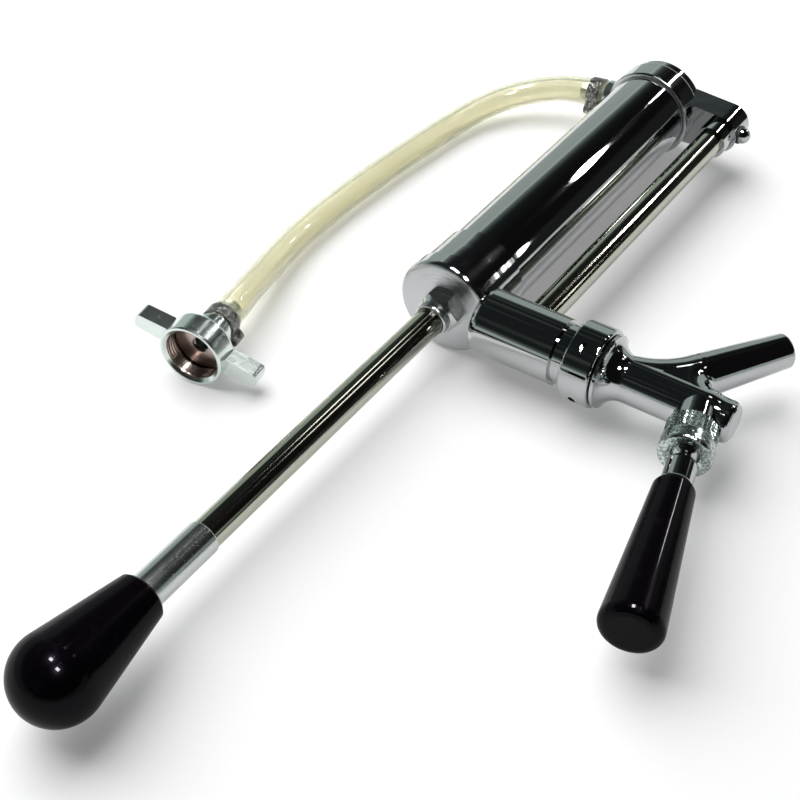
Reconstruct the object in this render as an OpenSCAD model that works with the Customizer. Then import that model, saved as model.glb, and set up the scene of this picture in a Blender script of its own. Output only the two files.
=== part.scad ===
// Hand pump for a beer keg, with a tap on its head and a short hose to the keg's outlet.
// Each piece is drawn upright, with the pump's axis on Z, the foot at Z = 0 and the tap towards +X.
// lay() then puts the pump down on its side, as it lies on a table.

/* [Barrel] */
// Length from the foot's end to the head's face
pump_len = 203; // [185:1:240]
// Outside diameter of the barrel
barrel_d = 40; // [38.5:0.1:41]
// Wall of the barrel
barrel_wall = 1.5; // [1:0.1:2]

/* [Head cap] */
// Diameter of the head cap's rim
head_d = 44; // [43:0.1:47]
// Length of the head cap
head_len = 30; // [27:0.5:36]
// Solid thickness of the head cap above the barrel
head_top = 19; // [18.5:0.1:21]
// Width of the straight band behind the head's face
head_band = 9; // [7:0.5:11]
// Rounding of the head's front edge
head_round = 2.5; // [1:0.1:3]
// Width and depth of the groove behind the band
head_groove = 0.8; // [0.4:0.1:1]

/* [Gland] */
// Hexagon of the gland nut across its flats
gland_af = 17; // [16.5:0.1:20]
// Height of the hexagon
gland_hex_h = 6; // [4:0.5:9]
// Diameter of the collar on the gland nut
gland_collar_d = 15; // [14.5:0.1:16.5]
// Height of the collar
gland_collar_h = 4; // [2:0.5:7]
// Diameter of the gland's pocket in the head cap
gland_pocket_d = 16.2; // [15.5:0.1:17]
// Length of the rod's bush
bush_len = 6; // [4:0.1:7]
// Thickness of the rod's seal
seal_len = 4; // [3:0.1:5]

/* [Foot cap] */
// Diameter of the foot's ring
foot_d = 44; // [43:0.1:47]
// Diameter of the foot's end below the ring
foot_end_d = 41; // [39.5:0.1:42.5]
// Height of the foot's end below the ring
foot_end_h = 6; // [4:0.5:8]
// Height of the foot's ring
foot_ring_h = 13; // [12.5:0.1:16]
// Length of the plug inside the barrel
foot_plug_h = 8; // [7.5:0.1:10]
// Height of the beer passage above the foot's end
passage_h = 9.5; // [9:0.1:10.5]
// Diameter of the beer passage
passage_d = 6; // [5:0.1:6.5]
// Diameter of the air spigot
spigot_d = 21; // [20.5:0.1:24]
// Length of the air spigot
spigot_len = 7.5; // [6:0.1:9]
// Bore of the air spigot
spigot_bore = 16.4; // [15.6:0.1:17]
// Thickness of the flat rings
gasket_t = 1; // [0.6:0.1:1.4]

/* [Check valve] */
// Diameter of the check valve's ball
check_ball_d = 7; // [6.4:0.1:7.6]
// Diameter of the check valve's seat
check_seat_d = 4; // [3:0.1:4.6]
// Diameter of the chamber round the ball
check_room_d = 14; // [13.6:0.1:15]
// Wire of the check valve's spring
check_wire = 0.6; // [0.4:0.1:0.8]
// Number of turns of the spring
check_turns = 3; // [2:1:4]
// Diameter of the air ports beside the beer passage
air_port_d = 2.4; // [1.8:0.1:2.6]

/* [Plunger] */
// Diameter of the pump rod
rod_d = 12.7; // [11.5:0.1:13.2]
// Rod that shows between the gland and the ferrule
rod_show = 146; // [140:1:190]
// Diameter of the ferrule below the knob
ferrule_d = 14; // [13:0.1:17]
// Length of the ferrule
ferrule_len = 33; // [20:1:45]
// Diameter of the knob's neck
knob_neck_d = 20; // [17:0.5:26]
// Diameter of the knob's round end
knob_d = 34; // [30:0.5:42]
// Length of the knob
knob_len = 59; // [50:0.5:75]
// Diameter of the threaded ends of the rod
rod_stud_d = 8; // [6:0.1:9]
// Thickness of the piston
piston_t = 7; // [5:0.5:12]
// Height of the piston's cup
cup_h = 6.5; // [5.5:0.1:9]
// Wall of the piston's cup
cup_wall = 2; // [1.5:0.1:2.5]
// Thickness of the rubber bumper on the piston
bumper_t = 3; // [2:0.5:6]

/* [Beer tube] */
// Diameter of the beer tube
tube_d = 12.7; // [11.5:0.1:13.5]
// Wall of the beer tube
tube_wall = 1; // [0.8:0.1:1.4]
// Distance of the beer tube from the pump's axis
tube_x = 37; // [36:0.1:40]
// Height of the foot block
block_h = 15; // [14.5:0.1:18]
// Width of the foot block at the foot cap
block_w = 22; // [20:0.5:26]
// Diameter of the foot block's round end
block_end_d = 19; // [18:0.1:20]
// Diameter of the socket collar on the foot block
tube_collar_d = 16; // [15.5:0.1:18]
// Height of the socket collar
tube_collar_h = 9.5; // [8:0.5:18]
// Diameter of the plug in the passage's outer end
plug_d = 8; // [7.5:0.1:9]

/* [Tap shank] */
// Drop of the tap's axis below the head's face
tap_drop = 4; // [3.6:0.1:4.4]
// Diameter of the tap shank
shank_d = 28.6; // [27.5:0.1:29.5]
// Start of the shank from the pump's axis
shank_root = 17; // [16:0.1:18]
// Length of the shank
shank_len = 39; // [37:0.5:50]
// Rounding of the shank's root
shank_round = 4; // [2:0.1:5]
// Diameter of the neck behind the coupling nut
neck_d = 25.4; // [24:0.1:27]
// Length of the neck
neck_len = 6; // [4:0.5:9]
// Diameter of the coupling nut
nut_d = 34; // [33:0.1:37]
// Length of the coupling nut
nut_len = 13.4; // [12.8:0.1:15]
// Number of spanner holes in the coupling nut
nut_holes = 4; // [3:1:8]
// Length of a spanner hole round the nut
nut_hole_len = 4.5; // [3.5:0.1:7]

/* [Faucet] */
// Diameter of the faucet's thread in the coupling nut
thread_d = 28.4; // [27.4:0.1:29]
// Diameter of the faucet's bell
bell_d = 31.2; // [30:0.1:32.5]
// Length of the bell's taper
bell_len = 9; // [8.5:0.5:11]
// Diameter of the faucet's body
body_d = 19; // [18.8:0.1:20]
// Diameter of the faucet's nose
nose_d = 17.4; // [16:0.1:19]
// Length of the faucet from its rear face to its nose
faucet_len = 62.7; // [61:0.1:68]
// Place of the lever's axis from the faucet's rear face
lever_x = 47.5; // [46.5:0.1:48.5]
// Place where the spout's axis meets the body's, from the rear face
spout_x = 27.8; // [25:0.1:30]
// Angle of the spout below the body
spout_angle = 57.6; // [50:0.1:64]
// Length of the spout from the body's axis
spout_len = 62; // [50:1:75]
// Diameter of the spout where it leaves the body
spout_d = 18.8; // [17.6:0.1:18.9]
// Diameter of the spout's mouth
spout_end_d = 15; // [14:0.1:16.5]
// Bore of the spout
spout_bore = 11; // [9.5:0.1:11.4]
// Radius of the bend from the body into the spout
spout_bend_r = 36; // [28:0.5:40]
// Radius of the crotch between the body and the spout
crotch_r = 3; // [2:0.1:4]
// Rounding of the nose's end
nose_round = 3; // [1:0.1:4]

/* [Lever] */
// Forward lean of the lever
lever_tilt = 14.5; // [10:0.5:17]
// Forward swing of the lever
lever_swing = 18; // [10:1:20]
// Height of the lever's ball above the body's axis
ball_up = 22; // [21.5:0.1:23]
// Diameter of the lever's ball
ball_d = 14; // [13.6:0.1:14.4]
// Diameter of the bonnet
bonnet_d = 21.6; // [21:0.1:24]
// Height of the bonnet's top above the body's axis
bonnet_up = 28.2; // [27.6:0.1:28.4]
// Length of the bonnet's knurled band
knurl_len = 8; // [6:0.1:9]
// Number of ridges in the knurled band
knurl_ridges = 36; // [24:1:48]
// Diameter of the lever's ferrule
lever_ferrule_d = 12.4; // [10:0.1:13]
// Length of the lever's ferrule
lever_ferrule_len = 14.6; // [8:0.1:20]
// Diameter of the handle where it meets the ferrule
handle_base_d = 16.5; // [14:0.5:20]
// Diameter of the handle's free end
handle_d = 24; // [20:0.5:32]
// Length of the handle
handle_len = 72.4; // [60:0.1:100]
// Rounding of the handle's free end
handle_round = 4; // [2:0.5:8]

/* [Valve] */
// Diameter of the valve shaft
shaft_d = 7; // [6.6:0.1:7.4]
// Diameter of the valve's seat
valve_seat_d = 11.2; // [10.6:0.1:11.6]
// Diameter of the valve's seal
valve_seal_d = 14; // [13:0.1:14.6]
// Thickness of the valve's seal
valve_seal_t = 4.8; // [4:0.1:5]

/* [Hose] */
// Outside diameter of the hose
hose_d = 13; // [12.5:0.1:14]
// Bore of the hose
hose_bore = 9; // [8.5:0.1:9.6]
// Extra diameter of the hose over its barbs
hose_swell = 0.8; // [0:0.1:1.2]
// Length of the barb inside the hose
barb_len = 14; // [12:0.5:18]
// Diameter of the barb's collar
barb_collar_d = 16; // [15:0.5:17]
// Thickness of the barb's collar
barb_collar_t = 6; // [4:0.5:8]
// Dip of the barb towards the table
barb_dip = 6; // [0:1:10]
// Width of the hose clamps
clamp_w = 6; // [5:0.5:8]
// Thickness of the clamps' band
clamp_t = 0.8; // [0.6:0.1:1]

/* [Wing nut] */
// Diameter of the wing nut's body
wing_d = 29.4; // [28.8:0.1:31]
// Length of the wing nut's body
wing_len = 14.5; // [14:0.1:18]
// Diameter across the tips of the wings
wing_span = 58; // [48:1:70]
// Setback of the wings from the nut's mouth
wing_set = 4; // [3:0.5:5]
// Thickness of the wings at their root
wing_t = 8.8; // [7.5:0.1:10]
// Thickness of the wings at their tips
wing_tip_t = 7; // [5:0.1:7.5]
// Width of the wings along the nut
wing_w = 8; // [6:0.5:10]
// Diameter of the thread's bore
wing_bore = 24.2; // [23.6:0.1:24.8]
// Length of the thread
wing_thread = 8; // [6:0.1:8.5]
// Turn of the wing nut's axis away from the pump's
wing_yaw = 9; // [0:1:15]
// Turn of the wings about the nut's axis
wing_roll = -14; // [-16:1:0]

/* [Hidden] */
$fn = 64;
// Gap round pieces that fit in one another, between the tap's end faces and between loose moving faces
fit = 0.05;
seat_gap = 0.1;
gap = 0.3;
// How far a cut or a lap runs past its face
eps = 0.5;

// Pump's own heights
barrel_r = barrel_d/2;
bore_r = barrel_r - barrel_wall;
ring_top = foot_end_h + foot_ring_h;
plug_top = ring_top + foot_plug_h;
barrel_lo = ring_top + gasket_t;
head_under = pump_len - head_top;
barrel_hi = head_under - gasket_t;
skirt_lo = pump_len - head_len;
rod_clear_r = rod_d/2 + gap;
pocket_r = gland_pocket_d/2;
pocket_wall = 2;
pocket_floor = head_under + pocket_wall;
seal_lo = pocket_floor + bush_len;
gland_lo = seal_lo + seal_len;
gland_top = pump_len + gland_hex_h + gland_collar_h;

// Plunger, drawn out to its upper stop
bumper_top = head_under - gap;
shoulder_h = bumper_top - bumper_t;
piston_washer_t = 2;
piston_washer_rim = 3;
bumper_rim = 4.5;
piston_top = shoulder_h - piston_washer_t;
piston_lo = piston_top - piston_t;
cup_base_t = 2;
cup_lo = piston_lo - cup_h;
piston_nut_h = 4;
piston_nut_af = 13;
ferrule_lo = gland_top + rod_show;
knob_lo = ferrule_lo + ferrule_len;
knob_r = knob_d/2;
knob_hi = knob_lo + knob_len;
stud_in_knob = 25;
stroke = min(cup_lo - plug_top, rod_show) - gap;
echo(stroke = stroke);

// Check valve
room_wall = 2;
room_floor = passage_h + passage_d/2 + room_wall;
retainer_t = 2;
retainer_lo = plug_top - retainer_t;
ball_r = check_ball_d/2;
seat_r = check_seat_d/2;
ball_h = retainer_lo - sqrt(ball_r*ball_r - seat_r*seat_r) - fit;
spring_r = 2.4;
spring_hi = ball_h - sqrt(ball_r*ball_r - spring_r*spring_r) - check_wire/2 - fit;
spring_lo = room_floor + check_wire/2;
port_wall = 1.3;
port_y = passage_d/2 + port_wall + air_port_d/2;
keg_washer_t = 2;
keg_washer_rim = 3.5;
spigot_root_d = spigot_d + 1;

// Tap's places along X
tap_h = pump_len - tap_drop;
shank_r = shank_d/2;
shank_end = shank_root + shank_len;
neck_end = shank_end + neck_len;
nut_back = neck_end + seat_gap;
nut_wall = 3;
nut_front = nut_back + nut_len;
stud_r = 9;
stud_in = 16;
flange_x = nut_back + nut_wall + seat_gap;
flange_t = 3;
flange_in = 0.6;
flange_r = thread_d/2 - flange_in;
water_r = 5;
gasket_in = 1;
faucet_x = flange_x + flange_t + gasket_t;
bell_x = nut_front + seat_gap - faucet_x;
bell_flat = 2;
bell_edge = 1;
bell_turn = 2*atan((bell_d - body_d)/2/bell_len);
bell_flare_r = bell_len/sin(bell_turn);
seat_x = 14.3;
valve_room_r = 8.5;
bend_start = spout_x - spout_bend_r*tan(spout_angle/2);
spout_straight = spout_len - spout_bend_r*tan(spout_angle/2);
spout_lip = 1.5;
spout_lap = 2;
spout_step = 0.05;
web_in = 0.15;
elbow_in = 0.08;
web_half = min(body_d, spout_d)/2 - web_in;
elbow_r = min(body_d, spout_d)/2 - elbow_in;
elbow_bend_r = max(body_d, spout_d)/2 + crotch_r;
web_reach = elbow_bend_r/tan(spout_angle/2);

// Beer tube between the foot block and the shank
plug_sink = 0.6;
plug_stem_d = plug_d - 2;
plug_seat_d = plug_d + 1;
block_far = tube_x + block_end_d/2 - plug_sink;
socket_wall = 0.5;
socket_floor = passage_h + passage_d/2 + socket_wall;
tube_stop = 3;
tube_lo = socket_floor + gasket_t;
tube_r = tube_d/2;
tube_hi = tap_h - water_r - tube_stop - gasket_t;

// Lever, with the distances measured along its leaning axis
tower_in = 0.1;
tower_d = body_d - 2*tower_in;
knurl_in = 0.3;
knurl_r = bonnet_d/2 - knurl_in;
tower_top = (nose_d/2 + gap)/cos(lever_tilt) + knurl_r*tan(lever_tilt);
tower_thread_d = 17.2;
tower_thread_len = 4;
ball_washer_t = 2;
washer_hole_r = 4.6;
lever_room_d = 14.8;
waist_r = 3;
ball_neck = 1.6;
knurl_depth = 0.6;
mouth_in = 1.8;
mouth_r = 5.3;
mouth_flare = 2;
lever_ferrule_lo = ball_up + ball_d/2 + ball_neck;
handle_lo = lever_ferrule_lo + lever_ferrule_len;
handle_hi = handle_lo + handle_len;
stud_in_handle = 25;
tail_r = 1.2;
tail_drop = 1.5;
tail_tip_r = 2.6;
slot_gap = 0.25;
slot_half = tail_tip_r + slot_gap;
slot_x = lever_x - tail_drop*sin(lever_tilt);
valve_travel = (ball_up + tail_drop)*(sin(lever_tilt + lever_swing) - sin(lever_tilt));
echo(valve_travel = valve_travel, ratio = -valve_travel/(lever_swing*PI/180));

// Valve, with its places from the faucet's rear face
seal_x = seat_x - fit - valve_seal_t;
valve_nut_t = 3.2;
valve_nut_af = 7.8;
shaft_x = seal_x - valve_nut_t;
guide_in = 4;
guide_x = lever_x + guide_in;
nose_wall = 1;
nose_ease = 2;
shaft_room = 0.4;
shaft_end = faucet_len - nose_wall - shaft_room;

// Resting place of the pump: the middle of its box is at X = Y = 0, its rims stand on Z = 0
lever_abs_x = faucet_x + lever_x;
handle_far_x = lever_abs_x + (handle_hi - handle_round)*sin(lever_tilt)
    + (handle_d/2 - handle_round)*cos(lever_tilt) + handle_round;
rest_r = max(head_d, foot_d)/2;
mid_x = (handle_far_x - rest_r)/2;
mid_h = (knob_hi - spigot_len)/2;
echo(mid_x = mid_x, mid_h = mid_h);

// Hose fittings
barb_sink = 2;
barb_face = foot_d/2 - barb_sink;
barb_tip = barb_face + barb_collar_t;
barb_r = hose_bore/2 - gap;
barb_tooth = 0.5;
barb_water_r = 2.6;
barb_stud_r = 5;
barb_stud_len = 8;
// The barb's bore is narrower than the straight passage and ends inside it
barb_way_in = 0.4;
passage_end = 1.5;
hose_end_r = (hose_d + hose_swell)/2;
foot_clamp_at = 3;
nut_clamp_at = 1;
ear_r = 2.5;
foot_ear_turn = -125;
nut_ear_turn = -135;
wing_neck_wall = 2.5;
wing_neck_len = 5;
wing_back_t = 2.5;
wing_relief = 0.5;
wing_round = 2;
wing_lead = 1.3;
wing_slope = 2;
wing_slope_in = 2.5;
wing_relief_r = wing_bore/2 + wing_relief;
tail_stem_r = 5.4;
tail_bore_r = 3.4;
wing_neck_r = tail_stem_r + gap + wing_neck_wall;
tail_flange_r = wing_bore/2 - wing_relief;
tail_flange_t = 1.7;
tail_washer_t = 1.5;
tail_washer_in = 0.4;
tail_flange_lo = -wing_len + wing_back_t + gap;
tail_collar_hi = -wing_len - wing_neck_len - gap;
tail_collar_t = 1.5;
hose_end = tail_collar_hi - tail_collar_t;

// Where the wing nut lies on the table, and the hose's route, which is straight where its clamps sit
wing_face = [-141.3, -59.1, wing_d/2];
hose_route = [
    [-112.5, 211.2, 17], [-121.9, 208.3, 15.4], [-130.6, 203.5, 13.6], [-138.3, 197, 11.8],
    [-144.5, 189.1, 10.1], [-149, 180.2, 8.7], [-152.1, 170.3, 7.7], [-154.4, 159, 7.2],
    [-156.2, 145, 7], [-158.6, 123, 7], [-160.5, 97.5, 7], [-161.8, 71, 7],
    [-161.4, 46, 7.2], [-158.6, 25, 8.6], [-154.6, 8, 10.9], [-150.8, -7, 13.3]
];
barb_straight = [0, 4.75, 9.5];
tail_straight = [20, 10, 0];
hose_points = concat(
    [for (s = barb_straight) barb_point(s)],
    hose_route,
    [for (s = tail_straight) wing_point(hose_end - s)]
);
hose_sides = 12;
hose_steps = 2;
swell_fade = 8;

// Colours
chrome = "#c9ced2";
steel = "#aeb4b8";
brass = "#c8a850";
black = "#151517";
rubber = "#2a2a2c";
vinyl = "#e3e0bd";

// Frames

// Puts the upright pump down on its side
module lay() {
    translate([-mid_x, mid_h, rest_r]) rotate([90, 0, 0]) children();
}

// Z runs along the tap's axis, from a place x, and X points down to the foot
module tap_axis(x) {
    lay() translate([x, 0, tap_h]) rotate([0, 90, 0]) children();
}

// Z runs up the leaning lever, from the faucet's axis
module lever_axis() {
    lay() translate([lever_abs_x, 0, tap_h]) rotate([0, lever_tilt, 0]) children();
}

// Z runs out of the foot cap along the hose's barb, from the pump's axis
module barb_axis() {
    lay() translate([0, 0, passage_h]) rotate([0, -90, barb_dip]) children();
}

// Z runs out of the wing nut's mouth, from the mouth
module wing_axis() {
    translate(wing_face) rotate([90, 0, wing_yaw]) children();
}

// Shapes that repeat

module ring(r_out, r_in, h) {
    difference() {
        cylinder(r = r_out, h = h);
        translate([0, 0, -eps]) cylinder(r = r_in, h = h + 2*eps);
    }
}

module hexagon(af, h) {
    cylinder(r = af/2/cos(30), h = h, $fn = 6);
}

module hex_nut(af, r_in, h) {
    difference() {
        hexagon(af, h);
        translate([0, 0, -eps]) cylinder(r = r_in, h = h + 2*eps);
    }
}

// Quarter-round corner points, for a profile that is revolved
function corner(cx, cy, r, from, to, n = 6) = [
    for (i = [0:n]) [cx + r*cos(from + (to - from)*i/n), cy + r*sin(from + (to - from)*i/n)]
];

// Smooth step from a to b as t goes from 0 to 1
function ease(a, b, t) = a + (b - a)*(1 - cos(180*t))/2;

// Stem with saw-tooth barbs that hold a hose
module barbed_stem(len) {
    teeth = 3;
    pitch = len/teeth;
    tooth_back = 0.4;
    tip_in = 0.6;
    rotate_extrude() polygon(concat(
        [[barb_water_r, 0]],
        [for (i = [0:teeth - 1], p = [[barb_r + barb_tooth, i*pitch], [barb_r, (i + 1)*pitch - tooth_back]]) p],
        [[barb_r - tip_in, len], [barb_water_r, len]]
    ));
}

// Band with one pinched ear, on the hose's end
module ear_clamp() {
    r_in = hose_end_r + seat_gap;
    ear_up = r_in + ear_r;
    linear_extrude(clamp_w) difference() {
        union() {
            circle(r = r_in + clamp_t);
            translate([-ear_r, 0]) square([2*ear_r, ear_up]);
            translate([0, ear_up]) circle(r = ear_r);
        }
        circle(r = r_in);
        translate([0, ear_up]) circle(r = ear_r - clamp_t);
    }
}

// Barrel and head

module barrel() {
    color(chrome) lay() translate([0, 0, barrel_lo]) ring(barrel_r, bore_r, barrel_hi - barrel_lo);
}

// Shank's outside, also the seat that it leaves in the head cap
module shank_form(grow) {
    rotate_extrude() polygon(concat(
        [[0, -grow]],
        corner(shank_r - shank_round, shank_round, shank_round + grow, -90, 0),
        [[shank_r + grow, shank_len], [0, shank_len]]
    ));
}

module head_cap() {
    rim = head_d/2;
    lip_wall = 1;
    lip_len = 2;
    lip = barrel_r + lip_wall;
    flare_hi = pump_len - head_band - head_groove;
    flare_n = 16;
    color(chrome) difference() {
        lay() rotate_extrude() polygon(concat(
            [[0, skirt_lo], [lip, skirt_lo]],
            [for (i = [0:flare_n]) [ease(lip, rim - head_groove, i/flare_n),
                skirt_lo + lip_len + (flare_hi - skirt_lo - lip_len)*i/flare_n]],
            [[rim - head_groove, pump_len - head_band], [rim, pump_len - head_band]],
            corner(rim - head_round, pump_len - head_round, head_round, 0, 90),
            [[0, pump_len]]
        ));
        lay() {
            translate([0, 0, skirt_lo - eps]) cylinder(r = barrel_r + fit, h = head_under - skirt_lo + eps);
            cylinder(r = rod_clear_r, h = pump_len + eps);
            translate([0, 0, pocket_floor]) cylinder(r = pocket_r, h = head_top);
        }
        tap_axis(shank_root) shank_form(fit);
    }
}

module head_gasket() {
    color(rubber) lay() translate([0, 0, barrel_hi]) ring(barrel_r, bore_r, gasket_t);
}

// Hexagon whose corners are turned off, and a round collar on it
module gland_nut() {
    edge = 1;
    corner_r = gland_af/2/cos(30);
    turned = 2;
    collar_r = gland_collar_d/2;
    color(chrome) lay() difference() {
        union() {
            translate([0, 0, gland_lo]) cylinder(r = pocket_r - fit, h = pump_len - gland_lo + eps);
            translate([0, 0, pump_len]) intersection() {
                hexagon(gland_af, gland_hex_h);
                rotate_extrude() polygon([
                    [0, 0], [corner_r, 0], [corner_r, gland_hex_h - turned],
                    [collar_r, gland_hex_h], [0, gland_hex_h]
                ]);
            }
            translate([0, 0, pump_len + gland_hex_h - eps]) rotate_extrude() polygon(concat(
                [[0, 0], [collar_r, 0]],
                corner(collar_r - edge, gland_collar_h + eps - edge, edge, 0, 90),
                [[0, gland_collar_h + eps]]
            ));
        }
        translate([0, 0, gland_lo - eps]) cylinder(r = rod_clear_r, h = gland_top);
    }
}

module rod_bush() {
    color(brass) lay() translate([0, 0, pocket_floor]) ring(pocket_r - fit, rod_d/2 + fit, bush_len);
}

module rod_seal() {
    color(rubber) lay() translate([0, 0, seal_lo]) ring(pocket_r - fit, rod_d/2 + fit, seal_len);
}

// Foot

// Foot's outside, also the saddle that it leaves in the foot block
module foot_form(grow) {
    edge = 1.2;
    rotate_extrude() polygon(concat(
        [[0, 0]],
        corner(foot_end_d/2 - edge, edge, edge + grow, -90, 0),
        [[foot_end_d/2 + grow, foot_end_h - grow]],
        corner(foot_d/2 - edge, foot_end_h + edge, edge + grow, -90, 0),
        corner(foot_d/2 - edge, ring_top - edge, edge + grow, 0, 90),
        [[0, ring_top + grow]]
    ));
}

module foot_cap() {
    color(chrome) difference() {
        lay() union() {
            foot_form(0);
            translate([0, 0, ring_top - eps]) cylinder(r = bore_r - fit, h = foot_plug_h + eps);
            translate([0, 0, -spigot_len]) cylinder(d = spigot_d, h = spigot_len + eps);
            translate([0, 0, -keg_washer_t]) cylinder(d = spigot_root_d, h = keg_washer_t + eps);
        }
        lay() {
            translate([0, 0, -spigot_len - eps]) cylinder(d = spigot_bore, h = spigot_len + eps);
            translate([0, 0, room_floor]) cylinder(d = check_room_d, h = plug_top);
            for (side = [-1, 1]) {
                translate([0, side*port_y, -eps]) cylinder(d = air_port_d, h = room_floor + 2*eps);
            }
            translate([-passage_end, 0, passage_h]) rotate([0, 90, 0]) cylinder(d = passage_d, h = foot_d);
        }
        barb_axis() {
            cylinder(r = passage_d/2 - barb_way_in, h = foot_d);
            translate([0, 0, barb_face - barb_stud_len]) cylinder(r = barb_stud_r + fit, h = foot_d);
            translate([0, 0, barb_face]) cylinder(d = barb_collar_d + 2*fit, h = foot_d);
        }
    }
}

module foot_gasket() {
    color(rubber) lay() translate([0, 0, ring_top]) ring(barrel_r, bore_r, gasket_t);
}

module check_retainer() {
    color(brass) lay() translate([0, 0, retainer_lo]) ring(check_room_d/2 - fit, seat_r, retainer_t);
}

module check_ball() {
    color(steel) lay() translate([0, 0, ball_h]) sphere(d = check_ball_d);
}

// Coil as one tube, swept by points along its helix
module check_spring() {
    per_turn = 12;
    sides = 6;
    n = per_turn*check_turns;
    rise = spring_hi - spring_lo;
    points = [for (i = [0:n], j = [0:sides - 1]) let (
        turn = 360*i/per_turn,
        out = spring_r + check_wire/2*cos(360*j/sides)
    ) [out*cos(turn), out*sin(turn), spring_lo + rise*i/n + check_wire/2*sin(360*j/sides)]];
    color(steel) lay() polyhedron(points, tube_faces(n + 1, sides));
}

// Triangles of a closed tube made of rings of points
function tube_faces(rings, sides) = concat(
    [for (j = [1:sides - 2]) [0, j, j + 1]],
    [for (i = [0:rings - 2], j = [0:sides - 1], k = [0, 1]) let (
        a = i*sides + j,
        b = i*sides + (j + 1)%sides
    ) k == 0 ? [a, a + sides, b] : [b, a + sides, b + sides]],
    [for (j = [1:sides - 2]) [(rings - 1)*sides, (rings - 1)*sides + j + 1, (rings - 1)*sides + j]]
);

module keg_washer() {
    r_in = spigot_root_d/2 + fit;
    color(rubber) lay() translate([0, 0, -keg_washer_t]) ring(r_in + keg_washer_rim, r_in, keg_washer_t);
}

// Plunger

module pump_rod() {
    stud_lo = cup_lo + cup_h - cup_base_t - piston_nut_h;
    color(chrome) lay() union() {
        translate([0, 0, shoulder_h]) cylinder(d = rod_d, h = ferrule_lo - shoulder_h);
        translate([0, 0, stud_lo]) cylinder(d = rod_stud_d, h = shoulder_h - stud_lo + eps);
        translate([0, 0, ferrule_lo - eps]) cylinder(d = rod_stud_d, h = ferrule_len + stud_in_knob + eps);
    }
}

module rod_ferrule() {
    edge = 0.8;
    r = ferrule_d/2;
    color(chrome) lay() difference() {
        translate([0, 0, ferrule_lo]) rotate_extrude() polygon(concat(
            [[0, 0]],
            corner(r - edge, edge, edge, -90, 0),
            [[r, ferrule_len], [0, ferrule_len]]
        ));
        translate([0, 0, ferrule_lo - eps]) cylinder(r = rod_stud_d/2 + fit, h = ferrule_len + 2*eps);
    }
}

// Pear shape: a cone from the neck that runs tangent into the round end
module pump_knob() {
    edge = 1;
    neck_r = knob_neck_d/2;
    centre = knob_len - knob_r;
    lean = asin(knob_r/norm([neck_r, centre])) - atan2(neck_r, centre);
    color(black) lay() translate([0, 0, knob_lo]) difference() {
        rotate_extrude() polygon(concat(
            [[0, 0], [neck_r - edge, 0], [neck_r, edge]],
            corner(0, centre, knob_r, -lean, 90, 30)
        ));
        translate([0, 0, -eps]) cylinder(r = rod_stud_d/2 + fit, h = stud_in_knob + eps + gap);
    }
}

module piston() {
    color(brass) lay() translate([0, 0, piston_lo]) ring(bore_r - gap, rod_stud_d/2 + fit, piston_t);
}

module piston_cup() {
    r = bore_r - fit;
    color(rubber) lay() difference() {
        translate([0, 0, cup_lo]) cylinder(r = r, h = cup_h);
        translate([0, 0, cup_lo - eps]) cylinder(r = r - cup_wall, h = cup_h - cup_base_t + eps);
        translate([0, 0, cup_lo]) cylinder(r = rod_stud_d/2 + fit, h = cup_h + eps);
    }
}

module piston_washer() {
    color(steel) lay() translate([0, 0, piston_top])
        ring(bore_r - piston_washer_rim, rod_stud_d/2 + fit, piston_washer_t);
}

module piston_nut() {
    nut_lo = piston_lo - cup_base_t - piston_nut_h;
    color(brass) lay() translate([0, 0, nut_lo]) hex_nut(piston_nut_af, rod_stud_d/2 + fit, piston_nut_h);
}

module rod_bumper() {
    color(rubber) lay() translate([0, 0, shoulder_h]) ring(rod_d/2 + bumper_rim, rod_d/2 + fit, bumper_t);
}

// Beer way

// Plan of the foot block: straight sides run tangent into the round end
module block_plan() {
    end_r = block_end_d/2;
    half = block_w/2;
    sink = 4;
    root = foot_end_d/2 - sink;
    lean = asin((half - end_r)/(tube_x - root));
    circle_at = [tube_x, 0];
    translate(circle_at) circle(r = end_r);
    polygon([
        [root, -half], [tube_x + end_r*sin(lean), -end_r*cos(lean)],
        [tube_x + end_r*sin(lean), end_r*cos(lean)], [root, half]
    ]);
}

module foot_block() {
    color(chrome) lay() difference() {
        union() {
            linear_extrude(block_h) block_plan();
            translate([tube_x, 0, block_h - eps]) cylinder(d = tube_collar_d, h = tube_collar_h + eps);
        }
        foot_form(fit);
        translate([0, 0, ring_top - eps]) cylinder(r = foot_d/2 + fit, h = foot_d);
        translate([tube_x, 0, socket_floor]) cylinder(r = tube_r + fit, h = foot_d);
        translate([tube_x, 0, passage_h]) cylinder(r = tube_r - tube_wall, h = foot_d);
        translate([0, 0, passage_h]) rotate([0, 90, 0]) cylinder(d = passage_d, h = tube_x);
        translate([tube_x, 0, passage_h]) rotate([0, 90, 0]) cylinder(d = plug_stem_d, h = foot_d);
        translate([block_far, 0, passage_h]) rotate([0, 90, 0]) cylinder(d = plug_seat_d + 2*fit, h = foot_d);
    }
}

// Dome-headed screw in the passage's drilled end
module passage_plug() {
    r = plug_d/2;
    stem_r = plug_stem_d/2 - fit;
    stem = 5;
    rim = 0.6;
    color(chrome) lay() translate([block_far, 0, passage_h]) rotate([0, 90, 0]) rotate_extrude() polygon(concat(
        [[0, -stem], [stem_r, -stem], [stem_r, gasket_t], [r, gasket_t]],
        corner(0, gasket_t + rim, r, 0, 90, 8)
    ));
}

module plug_washer() {
    color(rubber) lay() translate([block_far, 0, passage_h]) rotate([0, 90, 0])
        ring(plug_seat_d/2, plug_stem_d/2, gasket_t);
}

module beer_tube() {
    color(chrome) lay() translate([tube_x, 0, tube_lo]) ring(tube_r, tube_r - tube_wall, tube_hi - tube_lo);
}

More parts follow.
